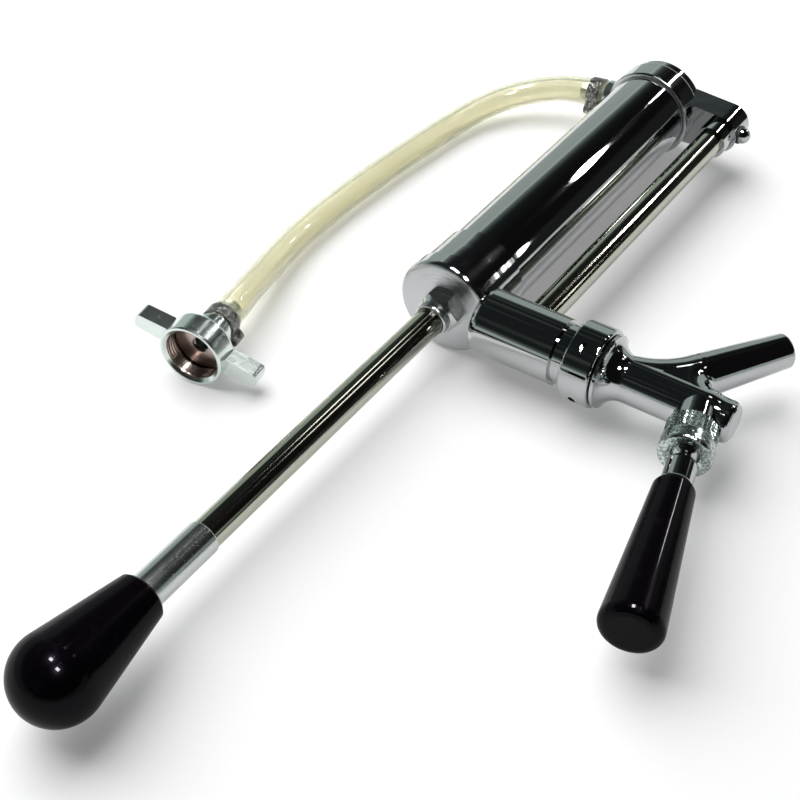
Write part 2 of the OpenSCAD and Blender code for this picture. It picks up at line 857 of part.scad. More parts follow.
module tube_seal_lower() {
    color(rubber) lay() translate([tube_x, 0, socket_floor]) ring(tube_r, tube_r - tube_wall, gasket_t);
}

module tube_seal_upper() {
    color(rubber) lay() translate([tube_x, 0, tube_hi]) ring(tube_r, tube_r - tube_wall, gasket_t);
}

module tap_shank() {
    color(chrome) difference() {
        tap_axis(shank_root) union() {
            shank_form(0);
            translate([0, 0, shank_len - eps]) cylinder(d = neck_d, h = neck_len + eps);
        }
        tap_axis(neck_end - stud_in) cylinder(r = stud_r + fit, h = stud_in + eps);
        tap_axis(tube_x - water_r) cylinder(r = water_r, h = shank_len);
        lay() translate([tube_x, 0, 0]) {
            cylinder(r = tube_r + fit, h = tube_hi + gasket_t);
            cylinder(r = tube_r - tube_wall, h = tap_h);
        }
    }
}

module shank_stud() {
    color(brass) tap_axis(neck_end - stud_in) difference() {
        union() {
            cylinder(r = stud_r, h = flange_x - neck_end + stud_in + eps);
            translate([0, 0, flange_x - neck_end + stud_in]) cylinder(r = flange_r, h = flange_t);
        }
        translate([0, 0, -eps]) cylinder(r = water_r, h = shank_len);
    }
}

module shank_gasket() {
    color(rubber) tap_axis(flange_x + flange_t) ring(flange_r, water_r + gasket_in, gasket_t);
}

// Round nut with oblong holes for a spanner's pin
module coupling_nut() {
    edge = 1.2;
    r = nut_d/2;
    hole_w = 3;
    hole_deep = 1.6;
    hole_turn = 30;
    color(chrome) tap_axis(nut_back) difference() {
        rotate_extrude() polygon(concat(
            [[stud_r + gap, 0]],
            corner(r - edge, edge, edge, -90, 0),
            corner(r - edge, nut_len - edge, edge, 0, 90),
            [[thread_d/2 + fit, nut_len], [thread_d/2 + fit, nut_wall], [stud_r + gap, nut_wall]]
        ));
        for (i = [0:nut_holes - 1]) {
            rotate([0, 0, hole_turn + 360*i/nut_holes]) translate([r - hole_deep, 0, nut_len/2])
                rotate([0, 90, 0]) linear_extrude(2*hole_deep) {
                    square([hole_w, nut_hole_len - hole_w], center = true);
                    for (side = [-1, 1]) translate([0, side*(nut_hole_len - hole_w)/2]) circle(d = hole_w);
                }
        }
    }
}

// Faucet

// Bend out of the body and the tapering straight length of the spout
module spout_form() {
    root_r = spout_d/2 - spout_step;
    lap_in = 0.2;
    translate([spout_bend_r, 0, bend_start]) rotate([90, 0, 180])
        rotate_extrude(angle = spout_angle) translate([spout_bend_r, 0]) circle(d = spout_d);
    translate([spout_bend_r*(1 - cos(spout_angle)), 0, bend_start + spout_bend_r*sin(spout_angle)])
        rotate([0, spout_angle, 0]) rotate_extrude() polygon(concat(
            [[0, -spout_lap], [root_r - lap_in, -spout_lap], [root_r, 0]],
            corner(spout_end_d/2 - spout_lip, spout_straight - spout_lip, spout_lip, 0, 90),
            [[0, spout_straight]]
        ));
}

// Flat web in the fork between the body and the spout, and a round elbow along its edge as the crotch
module fork_web() {
    half = spout_angle/2;
    far = web_reach/cos(half);
    middle = [far*sin(half), spout_x + far*cos(half)];
    rotate([90, 0, 0]) {
        linear_extrude(2*web_half, center = true) difference() {
            polygon([
                [0, spout_x], [0, spout_x + web_reach], middle,
                [web_reach*sin(spout_angle), spout_x + web_reach*cos(spout_angle)]
            ]);
            translate(middle) circle(r = elbow_bend_r);
        }
        translate(middle) rotate([0, 0, 180]) rotate_extrude(angle = 180 - spout_angle)
            translate([elbow_bend_r, 0]) circle(r = elbow_r);
    }
}

// Bell, body and nose as one turned shape
module faucet_turning() {
    bell_r = bell_d/2;
    body_r = body_d/2;
    nose_r = nose_d/2;
    flare_end = bell_x + bell_flat + bell_len;
    n = 6;
    rotate_extrude() polygon(concat(
        [[0, 0], [thread_d/2, 0], [thread_d/2, bell_x]],
        corner(bell_r - bell_edge, bell_x + bell_edge, bell_edge, -90, 0),
        corner(body_r + bell_flare_r, flare_end, bell_flare_r, 180 + bell_turn, 180, 16),
        [for (i = [0:n]) [ease(body_r, nose_r, i/n), lever_x + nose_ease + (tower_d/2 - nose_ease)*i/n]],
        corner(nose_r - nose_round, faucet_len - nose_round, nose_round, 0, 90),
        [[0, faucet_len]]
    ));
}

module faucet_body() {
    color(chrome) difference() {
        union() {
            tap_axis(faucet_x) union() {
                faucet_turning();
                spout_form();
                fork_web();
            }
            lever_axis() {
                cylinder(d = tower_d, h = tower_top);
                cylinder(d = tower_thread_d, h = tower_top + tower_thread_len);
            }
        }
        tap_axis(faucet_x) {
            translate([0, 0, -eps]) cylinder(r = valve_room_r, h = seat_x + eps);
            cylinder(d = valve_seat_d, h = guide_x);
            cylinder(r = shaft_d/2 + fit, h = faucet_len - nose_wall);
            translate([0, 0, spout_x]) rotate([0, spout_angle, 0])
                cylinder(d = spout_bore, h = spout_len + eps);
        }
        lever_axis() cylinder(d = lever_room_d, h = ball_up);
    }
}

// Knurled band for the fingers, and a smooth collar whose mouth lets the lever lean
module bonnet() {
    edge = 1.5;
    r = bonnet_d/2;
    collar_len = bonnet_up - tower_top - knurl_len;
    color(chrome) lever_axis() difference() {
        translate([0, 0, tower_top]) union() {
            linear_extrude(knurl_len) polygon([
                for (i = [0:2*knurl_ridges - 1]) (knurl_r - i%2*knurl_depth)
                    *[cos(180*i/knurl_ridges), sin(180*i/knurl_ridges)]
            ]);
            translate([0, 0, knurl_len]) rotate_extrude() polygon(concat(
                [[0, -eps], [r - 2*edge, -eps]],
                corner(r - edge, edge, edge, -90, 0),
                corner(r - edge, collar_len - edge, edge, 0, 90),
                [[0, collar_len]]
            ));
        }
        cylinder(r = tower_thread_d/2 + fit, h = tower_top + tower_thread_len + ball_washer_t);
        translate([0, 0, ball_up]) sphere(r = ball_d/2 + gap);
        translate([0, 0, bonnet_up - mouth_in])
            cylinder(r1 = mouth_r, r2 = mouth_r + mouth_flare, h = mouth_in + fit);
    }
}

module ball_washer() {
    lo = tower_top + tower_thread_len;
    color(rubber) lever_axis() translate([0, 0, lo]) difference() {
        cylinder(d = tower_thread_d, h = ball_washer_t);
        translate([0, 0, ball_up - lo]) sphere(r = ball_d/2 + gap);
        translate([0, 0, -eps]) cylinder(r = washer_hole_r, h = ball_washer_t);
    }
}

module tap_lever() {
    color(chrome) lever_axis() union() {
        translate([0, 0, -tail_drop]) sphere(r = tail_tip_r);
        translate([0, 0, -tail_drop]) cylinder(r = tail_r, h = tail_drop + ball_up);
        translate([0, 0, ball_up]) sphere(d = ball_d);
        translate([0, 0, ball_up]) cylinder(r = waist_r, h = handle_lo + stud_in_handle - ball_up);
    }
}

// Sleeve with a domed top and a bead where the handle sits
module lever_ferrule() {
    r = lever_ferrule_d/2;
    dome = 3;
    rim_r = r + 0.6;
    rim_t = 1.6;
    color(chrome) lever_axis() translate([0, 0, lever_ferrule_lo]) difference() {
        rotate_extrude() polygon(concat(
            [[0, 0]],
            corner(r - dome, dome, dome, -90, 0),
            [[r, lever_ferrule_len - rim_t]],
            corner(rim_r - rim_t/2, lever_ferrule_len - rim_t/2, rim_t/2, -90, 90),
            [[0, lever_ferrule_len]]
        ));
        translate([0, 0, -eps]) cylinder(r = waist_r + fit, h = lever_ferrule_len + 2*eps);
    }
}

module tap_handle() {
    base_r = handle_base_d/2;
    end_r = handle_d/2;
    base_round = 2;
    lean = atan((end_r - base_r)/(handle_len - handle_round - base_round));
    color(black) lever_axis() translate([0, 0, handle_lo]) difference() {
        rotate_extrude() polygon(concat(
            [[0, 0]],
            corner(base_r - base_round, base_round, base_round, -90, -lean),
            corner(end_r - handle_round, handle_len - handle_round, handle_round, -lean, 90),
            [[0, handle_len]]
        ));
        translate([0, 0, -eps]) cylinder(r = waist_r + fit, h = stud_in_handle + eps + gap);
    }
}

// Valve

module valve_shaft() {
    color(steel) tap_axis(faucet_x) difference() {
        translate([0, 0, shaft_x]) cylinder(d = shaft_d, h = shaft_end - shaft_x);
        translate([-shaft_d, -slot_half, slot_x - slot_half]) cube([2*shaft_d, 2*slot_half, 2*slot_half]);
    }
}

module valve_seal() {
    color(rubber) tap_axis(faucet_x + seal_x) ring(valve_seal_d/2, shaft_d/2 + fit, valve_seal_t);
}

module valve_nut() {
    color(brass) tap_axis(faucet_x + shaft_x) hex_nut(valve_nut_af, shaft_d/2 + fit, valve_nut_t);
}

// Hose and its fittings

module hose_barb() {
    r = barb_collar_d/2;
    edge = 0.8;
    color(brass) barb_axis() union() {
        translate([0, 0, barb_face - barb_stud_len]) ring(barb_stud_r, barb_water_r, barb_stud_len + eps);
        translate([0, 0, barb_face]) rotate_extrude() polygon(concat(
            [[barb_water_r, 0], [r, 0]],
            corner(r - edge, barb_collar_t - edge, edge, 0, 90, 4),
            [[barb_water_r, barb_collar_t]]
        ));
        translate([0, 0, barb_tip - eps]) barbed_stem(barb_len + eps);
    }
}

// Points on the two fittings' axes, on the table
function barb_point(s) = [-mid_x, mid_h - passage_h, rest_r] - (barb_tip + s)*[cos(barb_dip), 0, sin(barb_dip)];
function wing_point(s) = wing_face + s*[sin(wing_yaw), -cos(wing_yaw), 0];

// Smooth curve through the points, and its direction, at place t of span i
function span(i, k) = hose_points[max(0, min(len(hose_points) - 1, i + k))];
function hose_at(i, t) = let (
    a = span(i, -1), b = span(i, 0), c = span(i, 1), d = span(i, 2)
) 0.5*(2*b + (c - a)*t + (2*a - 5*b + 4*c - d)*t*t + (3*b - a - 3*c + d)*t*t*t);
function hose_way(i, t) = let (
    a = span(i, -1), b = span(i, 0), c = span(i, 1), d = span(i, 2),
    v = 0.5*((c - a) + 2*(2*a - 5*b + 4*c - d)*t + 3*(3*b - a - 3*c + d)*t*t)
) v/norm(v);

module beer_hose() {
    last = len(hose_points) - 2;
    places = concat(
        [for (i = [0:last], k = [0:hose_steps - 1]) [i, k/hose_steps]],
        [[last, 1]]
    );
    rings = len(places);
    // One ring of points: square to the way, outside or inside, swollen over the barbs
    function hose_ring(n, bore) = let (
        p = hose_at(places[n][0], places[n][1]),
        way = hose_way(places[n][0], places[n][1]),
        side = cross(way, [0, 0, 1])/norm(cross(way, [0, 0, 1])),
        up = cross(side, way),
        from_end = min(norm(p - hose_points[0]), norm(p - hose_points[last + 1])),
        swell = from_end < barb_len ? hose_swell : hose_swell*max(0, 1 - (from_end - barb_len)/swell_fade),
        r = bore ? hose_bore/2 : (hose_d + swell)/2
    ) [for (j = [0:hose_sides - 1]) p + r*(cos(360*j/hose_sides)*side + sin(360*j/hose_sides)*up)];
    points = [for (bore = [false, true], n = [0:rings - 1]) each hose_ring(n, bore)];
    inner = rings*hose_sides;
    function quad(a, b, c, d) = [[a, b, c], [a, c, d]];
    walls = [for (n = [0:rings - 2], j = [0:hose_sides - 1]) let (
        a = n*hose_sides + j,
        b = n*hose_sides + (j + 1)%hose_sides
    ) each concat(
        quad(a, a + hose_sides, b + hose_sides, b),
        quad(inner + a, inner + b, inner + b + hose_sides, inner + a + hose_sides)
    )];
    ends = [for (j = [0:hose_sides - 1]) let (
        b = (j + 1)%hose_sides,
        far = (rings - 1)*hose_sides
    ) each concat(
        quad(j, b, inner + b, inner + j),
        quad(far + j, inner + far + j, inner + far + b, far + b)
    )];
    color(vinyl) polyhedron(points, concat(walls, ends));
}

module foot_clamp() {
    color(chrome) barb_axis() translate([0, 0, barb_tip + foot_clamp_at])
        rotate([0, 0, foot_ear_turn]) ear_clamp();
}

module nut_clamp() {
    color(chrome) wing_axis() translate([0, 0, hose_end - nut_clamp_at - clamp_w])
        rotate([0, 0, nut_ear_turn]) ear_clamp();
}

module hose_tail() {
    color(brass) wing_axis() union() {
        translate([0, 0, tail_flange_lo]) ring(tail_flange_r, tail_bore_r, tail_flange_t);
        translate([0, 0, tail_collar_hi - eps])
            ring(tail_stem_r, tail_bore_r, tail_flange_lo - tail_collar_hi + 2*eps);
        translate([0, 0, hose_end]) ring(hose_end_r + gap, barb_water_r, tail_collar_t);
        translate([0, 0, hose_end + eps]) rotate([180, 0, 0]) barbed_stem(barb_len + eps);
    }
}

module tail_washer() {
    color(brass) wing_axis() translate([0, 0, tail_flange_lo + tail_flange_t])
        ring(tail_flange_r, tail_bore_r + tail_washer_in, tail_washer_t);
}

// One wing: a tapering bar with rounded corners at its tip
module wing() {
    root = wing_neck_r;
    half = wing_tip_t/2;
    tip = wing_span/2 - wing_round;
    linear_extrude(wing_w) polygon(concat(
        [[root, -wing_t/2]],
        corner(tip, wing_round - half, wing_round, -90, 0),
        corner(tip, half - wing_round, wing_round, 0, 90),
        [[root, wing_t/2]]
    ));
}

// Cup with a sloping back, a flared mouth, a neck for the hose's tail and two wings
module wing_nut() {
    edge = 0.8;
    r = wing_d/2;
    slope_r = wing_neck_r + wing_slope_in;
    neck_lo = -wing_len - wing_neck_len;
    relief_lo = -wing_len + wing_back_t;
    color(chrome) wing_axis() difference() {
        union() {
            rotate_extrude() polygon(concat(
                [[0, neck_lo], [wing_neck_r, neck_lo], [wing_neck_r, -wing_len], [slope_r, -wing_len]],
                corner(r - wing_slope, -wing_len + wing_back_t + wing_slope, wing_slope, -45, 0),
                corner(r - edge, -edge, edge, 0, 90, 4),
                [[0, 0]]
            ));
            for (turn = [0, 180]) rotate([0, 0, wing_roll + turn]) translate([0, 0, -wing_set - wing_w]) wing();
        }
        translate([0, 0, -wing_thread]) cylinder(d = wing_bore, h = wing_thread + eps);
        translate([0, 0, -wing_lead])
            cylinder(r1 = wing_bore/2 - fit, r2 = wing_bore/2 + wing_lead, h = wing_lead + fit);
        translate([0, 0, relief_lo]) cylinder(r = wing_relief_r, h = wing_len - wing_back_t - wing_thread);
        translate([0, 0, neck_lo - eps])
            cylinder(r = tail_stem_r + gap, h = wing_neck_len + wing_back_t + 2*eps);
    }
}

barrel();
head_cap();
head_gasket();
gland_nut();
rod_bush();
rod_seal();
foot_cap();
foot_gasket();
check_retainer();
check_ball();
check_spring();
keg_washer();
pump_rod();
rod_ferrule();
pump_knob();
piston();
piston_cup();
piston_washer();
piston_nut();
rod_bumper();
foot_block();
passage_plug();
plug_washer();
beer_tube();
tube_seal_lower();
tube_seal_upper();
tap_shank();
shank_stud();
shank_gasket();
coupling_nut();
faucet_body();
bonnet();
ball_washer();
tap_lever();
lever_ferrule();
tap_handle();
valve_shaft();
valve_seal();
valve_nut();
hose_barb();
beer_hose();
foot_clamp();
nut_clamp();
hose_tail();
tail_washer();
wing_nut();
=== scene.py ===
"""Looks of a hand keg pump that lies on a pale table: chrome, black plastic and a clear vinyl hose."""

from math import cos, pi, radians, sin, tan

import bmesh
import bpy
from mathutils import Matrix, Vector


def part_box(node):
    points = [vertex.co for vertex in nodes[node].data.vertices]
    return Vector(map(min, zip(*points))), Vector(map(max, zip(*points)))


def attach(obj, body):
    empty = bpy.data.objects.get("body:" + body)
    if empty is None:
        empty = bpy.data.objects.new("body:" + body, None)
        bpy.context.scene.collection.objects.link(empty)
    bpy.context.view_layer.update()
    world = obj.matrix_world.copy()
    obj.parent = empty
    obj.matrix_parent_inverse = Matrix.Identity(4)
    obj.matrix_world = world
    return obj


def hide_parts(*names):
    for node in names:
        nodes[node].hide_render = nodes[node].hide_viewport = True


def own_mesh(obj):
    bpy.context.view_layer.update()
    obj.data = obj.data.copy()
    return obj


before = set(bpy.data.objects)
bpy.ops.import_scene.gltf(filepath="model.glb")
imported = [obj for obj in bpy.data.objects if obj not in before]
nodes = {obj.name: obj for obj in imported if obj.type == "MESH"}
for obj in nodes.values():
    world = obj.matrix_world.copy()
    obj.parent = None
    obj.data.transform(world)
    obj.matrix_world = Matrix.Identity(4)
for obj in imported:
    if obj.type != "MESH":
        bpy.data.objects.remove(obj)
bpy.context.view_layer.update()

MM = 0.001
UP = Vector((0, 0, 1))

# The pump's axis lies along Y, and these place it as the part's source does, in millimetres
MID_X = 67.4442
MID_H = 221.75
REST_R = 22


def put_in_scene(name, data):
    """A new object of the scene, made from that data."""
    made = bpy.data.objects.new(name, data)
    bpy.context.scene.collection.objects.link(made)
    return made


def facing(at, right, up, back):
    """The place and turn of an object that sits there with its own axes pointing those three ways."""
    turn = Matrix((right, up, back)).transposed()
    return Matrix.Translation(at) @ turn.to_4x4()


# Camera, where the photograph was taken from

FRAME_PX = 800
FOCAL_PX = 1500
SENSOR_MM = 36
NEAREST_SEEN = 0.01
CAMERA_AT = (0.1943, -0.3967, 0.4209)
CAMERA_RIGHT = (0.8259, 0.5638, 0.0)
CAMERA_UP = (-0.3816, 0.5591, 0.7361)
CAMERA_BACK = (0.4150, -0.6080, 0.6769)


def add_camera():
    """The camera, with a lens that gives the photograph's field of view."""
    data = bpy.data.cameras.new("camera")
    data.sensor_width = SENSOR_MM
    data.lens = SENSOR_MM * FOCAL_PX / FRAME_PX
    data.clip_start = NEAREST_SEEN
    camera = put_in_scene("camera", data)
    camera.matrix_world = facing(CAMERA_AT, CAMERA_RIGHT, CAMERA_UP, CAMERA_BACK)
    bpy.context.scene.camera = camera


# Shader maths


class Shade:
    """A socket of a material's nodes. Sums on it add Math nodes, and node() adds any other kind."""

    def __init__(self, tree, socket=None):
        self.tree = tree
        self.socket = socket

    def node(self, kind, settings=None, sockets=None, out=0):
        """A new node: its settings are made first, and then its sockets are set or linked."""
        made = self.tree.nodes.new(kind)
        for name, value in (settings or {}).items():
            setattr(made, name, value)
        for name, value in (sockets or {}).items():
            if isinstance(value, Shade):
                self.tree.links.new(value.socket, made.inputs[name])
            else:
                made.inputs[name].default_value = value
        return Shade(self.tree, made.outputs[out] if made.outputs else None)

    def math(self, operation, a, b):
        return self.node("ShaderNodeMath", {"operation": operation}, {0: a, 1: b})

    def __add__(self, other):
        return self.math("ADD", self, other)

    __radd__ = __add__

    def __sub__(self, other):
        return self.math("SUBTRACT", self, other)

    def __rsub__(self, other):
        return self.math("SUBTRACT", other, self)

    def __mul__(self, other):
        return self.math("MULTIPLY", self, other)

    __rmul__ = __mul__

    def root(self):
        """The square root of this value."""
        return self.math("POWER", self, 0.5)

    def part(self, axis):
        """This vector's share along X, Y or Z, for axis 0, 1 or 2."""
        return self.node("ShaderNodeSeparateXYZ", None, {0: self}, out=axis)

    def along(self, way):
        """How far this direction points that way."""
        settings = {"operation": "DOT_PRODUCT"}
        return self.node("ShaderNodeVectorMath", settings, {0: self, 1: way}, out="Value")

    def place(self):
        """Where on the object a point is, in metres."""
        return self.node("ShaderNodeTexCoord", out="Object")

    def noise(self, size, detail=2, rough=0.5):
        """Cloudy noise with spots of about that many millimetres, from 0 to 1."""
        sockets = {"Vector": self.place(), "Scale": 1 / (size * MM), "Detail": detail, "Roughness": rough}
        return self.node("ShaderNodeTexNoise", None, sockets)

    def streaks(self, size, way):
        """Noise of about that many millimetres, drawn out along the axes whose share in way is small."""
        settings = {"operation": "MULTIPLY"}
        stretched = self.node("ShaderNodeVectorMath", settings, {0: self.place(), 1: way})
        sockets = {"Vector": stretched, "Scale": 1 / (size * MM), "Detail": 2.0}
        return self.node("ShaderNodeTexNoise", None, sockets)

    def turned(self, size):
        """Tool rings of about that many millimetres round the pump's axis."""
        place = self.place()
        across = place.part(0) + MID_X * MM
        up = place.part(2) - REST_R * MM
        reach = (across * across + up * up).root()
        sockets = {"W": reach * (1 / (size * MM)), "Detail": 2.0}
        return self.node("ShaderNodeTexNoise", {"noise_dimensions": "1D"}, sockets)

    def spread(self, value, low, high):
        """0 at low, 1 at high, a smooth step between and level beyond."""
        settings = {"interpolation_type": "SMOOTHSTEP"}
        return self.node("ShaderNodeMapRange", settings, {0: value, 1: low, 2: high})

    def mix(self, share, a, b):
        """Colour a, or b where share is 1. The node takes colours at 6 and 7 and gives one at 2."""
        return self.node("ShaderNodeMix", {"data_type": "RGBA"}, {0: share, 6: a, 7: b}, out=2)

    def bump(self, height, depth):
        """A surface that stands out by that many millimetres where height is 1."""
        return self.node("ShaderNodeBump", None, {"Height": height, "Distance": depth * MM})


def finish_of(name, build):
    """A material whose surface shader takes the values that build(shade) gives by socket name."""
    material = bpy.data.materials.new(name)
    material.use_nodes = True
    tree = material.node_tree
    tree.nodes.clear()
    shade = Shade(tree)
    surface = shade.node("ShaderNodeBsdfPrincipled", None, build(shade))
    shade.node("ShaderNodeOutputMaterial", None, {"Surface": surface})
    return material


def rgb(red, green, blue):
    """A colour as a socket takes it."""
    return (red, green, blue, 1.0)


# Finishes, with sizes in millimetres

SMEAR_DULLS = 0.4
DUST_DULLS = 0.6
SMEAR_TONE = 0.94
BRUSHED_ROUND = (0.05, 1, 0.05)
KNURL_LOW = rgb(0.22, 0.26, 0.245)
# The knurl's pale specks are painted glints on its small faces.
KNURL_PAINTED_GLINT = rgb(0.56, 0.63, 0.60)
CLAMP_LOW = rgb(0.11, 0.11, 0.105)
CLAMP_HIGH = rgb(0.46, 0.47, 0.44)
BARE_DARK = rgb(0.36, 0.285, 0.255)
BARE_PALE = rgb(0.52, 0.43, 0.39)
PLASTIC = rgb(0.0014, 0.0010, 0.0017)
PLASTIC_RUBBED = rgb(0.0045, 0.0035, 0.0055)
# A purple tint painted onto the plastic's reflections.
PLASTIC_REFLECTION_TINT = rgb(0.86, 0.64, 1.0)
GROUND_ROUND = (0.02, 1, 0.02)
GROUND_DARK = rgb(0.38, 0.385, 0.32)
GROUND_PALE = rgb(0.44, 0.445, 0.38)
BRASS_CLEAN = rgb(0.72, 0.55, 0.27)
BRASS_TARNISHED = rgb(0.48, 0.34, 0.15)
SPRING_DARK = rgb(0.46, 0.47, 0.48)
SPRING_PALE = rgb(0.60, 0.61, 0.61)
RUBBER_DARK = rgb(0.014, 0.014, 0.015)
RUBBER_PALE = rgb(0.035, 0.035, 0.036)
VINYL_CLEAR = rgb(0.85, 0.835, 0.69)
VINYL_HAZY = rgb(0.75, 0.735, 0.58)
VINYL_IOR = 1.40


def metal(colour, roughness, normal):
    """The values of a metal surface."""
    return {"Base Color": colour, "Metallic": 1.0, "Roughness": roughness, "Normal": normal}


def plating(shade, base, rough, normal):
    """Bright plating with faint smears and fine dust."""
    smear = shade.spread(shade.noise(30, 4, 0.6), 0.5, 0.75)
    dust = shade.spread(shade.noise(1.2), 0.66, 0.78)
    tint = shade.mix(smear, rgb(*base), rgb(*(SMEAR_TONE * c for c in base)))
    return metal(tint, rough + SMEAR_DULLS * rough * smear + DUST_DULLS * rough * dust, normal)


def rippled_plating(base, rough, depth, size):
    """Plating that follows a slow ripple of the metal below, of that depth and size."""

    def build(shade):
        return plating(shade, base, rough, shade.bump(shade.noise(size, 3), depth))

    return build


def turned_chrome(shade):
    """Plating over a cast cap whose end was turned, with faint tool rings."""
    return plating(shade, (0.45, 0.46, 0.47), 0.06, shade.bump(shade.turned(0.5), 0.04))


def satin_chrome(shade):
    """Plating over a brushed ferrule, which blurs what it mirrors."""
    brushed = shade.bump(shade.streaks(0.5, BRUSHED_ROUND), 0.02)
    return plating(shade, (0.52, 0.54, 0.53), 0.20, brushed)


def knurled_chrome(shade):
    """Plating over a coarse knurl, with pale specks painted into its colour as glints on its small faces.
    """
    speck = shade.noise(1.0, 2, 0.6)
    # Pale specks painted in as glints of the knurl's faces; roughness and bump follow the same specks.
    colour = shade.mix(shade.spread(speck, 0.4, 0.65), KNURL_LOW, KNURL_PAINTED_GLINT)
    return metal(colour, 0.20 - 0.12 * shade.spread(speck, 0.45, 0.65), shade.bump(speck, 0.16))


def clamp_steel(shade):
    """Rolled clamp band, dark and speckled."""
    speck = shade.spread(shade.noise(1.1, 3, 0.6), 0.45, 0.7)
    colour = shade.mix(speck, CLAMP_LOW, CLAMP_HIGH)
    return metal(colour, 0.30 - 0.12 * speck, shade.bump(speck, 0.12))


def bare_metal(shade):
    """Turned metal of a warm, pinkish grey, where the plating ends."""
    cloud = shade.noise(4, 3)
    tooled = shade.bump(shade.noise(0.6), 0.02)
    return metal(shade.mix(cloud, BARE_DARK, BARE_PALE), 0.17 + 0.08 * cloud, tooled)


def black_plastic(shade):
    """Glossy moulded plastic with faint rub marks."""
    rub = shade.spread(shade.noise(11, 5, 0.65), 0.55, 0.8)
    return {
        "Base Color": shade.mix(rub, PLASTIC, PLASTIC_RUBBED),
        "Roughness": 0.26 + 0.10 * rub,
        "Specular IOR Level": 0.02,
        # A purple tint painted onto the plastic's reflections.
        "Specular Tint": PLASTIC_REFLECTION_TINT,
        "Coat Weight": 0.13 - 0.04 * rub,
        "Coat Roughness": 0.05,
        "Normal": shade.bump(shade.noise(0.7), 0.008),
    }


def ground_steel(shade):
    """Drawn and ground steel: fine rings round the rod draw each lamp out into a line along it."""
    cloud = shade.noise(20, 4, 0.6)
    rings = shade.bump(shade.streaks(1.4, GROUND_ROUND), 0.004)
    return metal(shade.mix(cloud, GROUND_DARK, GROUND_PALE), 0.08 + 0.04 * cloud, rings)


def brass(shade):
    """Turned brass with fine tool marks and a little tarnish."""
    tarnish = shade.spread(shade.noise(6, 4), 0.45, 0.75)
    tooled = shade.bump(shade.noise(0.6), 0.02)
    return metal(shade.mix(tarnish, BRASS_CLEAN, BRASS_TARNISHED), 0.24 + 0.14 * tarnish, tooled)


def spring_steel(shade):
    """Rolled spring steel, a little duller than the plating."""
    rolled = shade.noise(1.8, 3)
    colour = shade.mix(rolled, SPRING_DARK, SPRING_PALE)
    return metal(colour, 0.16 + 0.12 * rolled, shade.bump(rolled, 0.02))


def rubber(shade):
    """Matt black rubber with a fine pore."""
    pore = shade.noise(0.9, 3)
    return {
        "Base Color": shade.mix(pore, RUBBER_DARK, RUBBER_PALE),
        "Roughness": 0.62 + 0.2 * pore,
        "Normal": shade.bump(pore, 0.03),
    }


def vinyl(shade):
    """Clear vinyl that has yellowed a little, with a faint haze along it."""
    haze = shade.noise(20, 3)
    return {
        "Base Color": shade.mix(haze, VINYL_CLEAR, VINYL_HAZY),
        "Roughness": 0.06 + 0.08 * haze,
        "IOR": VINYL_IOR,
        "Transmission Weight": 0.9,
        "Specular IOR Level": 0.5,
        "Normal": shade.bump(shade.noise(4), 0.03),
    }


CHROME = finish_of("polished_chrome", rippled_plating((0.43, 0.44, 0.445), 0.02, 0.0025, 14))
CAST_CHROME = finish_of("cast_chrome", rippled_plating((0.43, 0.44, 0.45), 0.035, 0.05, 7))
TURNED_CHROME = finish_of("turned_chrome", turned_chrome)
NICKEL = finish_of("satin_nickel", rippled_plating((0.66, 0.72, 0.69), 0.19, 0.05, 3))
SATIN = finish_of("satin_chrome", satin_chrome)
KNURLED = finish_of("knurled_chrome", knurled_chrome)
CLAMP = finish_of("clamp_steel", clamp_steel)
BARE = finish_of("bare_metal", bare_metal)
GROUND = finish_of("ground_steel", ground_steel)
BLACK = finish_of("black_plastic", black_plastic)
BRASS = finish_of("turned_brass", brass)
STEEL = finish_of("bright_steel", spring_steel)
RUBBER = finish_of("black_rubber", rubber)
VINYL = finish_of("clear_vinyl", vinyl)

NODE_FINISH = {
    CHROME: "barrel passage_plug tap_shank coupling_nut tap_lever lever_ferrule",
    SATIN: "rod_ferrule gland_nut",
    KNURLED: "bonnet",
    GROUND: "pump_rod beer_tube",
    CAST_CHROME: "foot_block faucet_body",
    TURNED_CHROME: "head_cap foot_cap",
    NICKEL: "wing_nut hose_barb hose_tail",
    BLACK: "pump_knob tap_handle",
    BRASS: "rod_bush check_retainer piston piston_nut shank_stud valve_nut",
    BARE: "tail_washer",
    CLAMP: "foot_clamp nut_clamp",
    STEEL: "piston_washer check_ball check_spring valve_shaft",
    RUBBER: "head_gasket rod_seal foot_gasket keg_washer piston_cup rod_bumper plug_washer "
    "tube_seal_lower tube_seal_upper shank_gasket ball_washer valve_seal",
    VINYL: "beer_hose",
}


def dress_nodes():
    """Gives each solid of the frame its finish."""
    for material, names in NODE_FINISH.items():
        for name in names.split():
            mesh = nodes[name].data
            mesh.materials.clear()
            mesh.materials.append(material)


# Meshes


def add_piece(name, verts, faces, material, smooth=True):
    """A new mesh with its faces turned outwards."""
    mesh = bpy.data.meshes.new(name)
    mesh.from_pydata([tuple(v) for v in verts], [], faces)
    mesh.materials.append(material)
    shaped = bmesh.new()
    shaped.from_mesh(mesh)
    bmesh.ops.recalc_face_normals(shaped, faces=shaped.faces)
    shaped.to_mesh(mesh)
    shaped.free()
    if smooth:
        mesh.polygons.foreach_set("use_smooth", [True] * len(mesh.polygons))
    return put_in_scene(name, mesh)


def ring(at, side, up, r, sides):
    """Points round at, on a circle in the plane of side and up."""
    angles = (2 * pi * j / sides for j in range(sides))
    return [at + r * (cos(a) * side + sin(a) * up) for a in angles]


def skin(rings, sides, first=0):
    """Faces from each ring of points to the next, from the point numbered first on."""
    faces = []
    for low in range(first, first + (rings - 1) * sides, sides):
        high = low + sides
        for j in range(sides):
            b = (j + 1) % sides
            faces.append((low + j, low + b, high + b, high + j))
    return faces


# Hose, from the foot's barb round to the wing nut

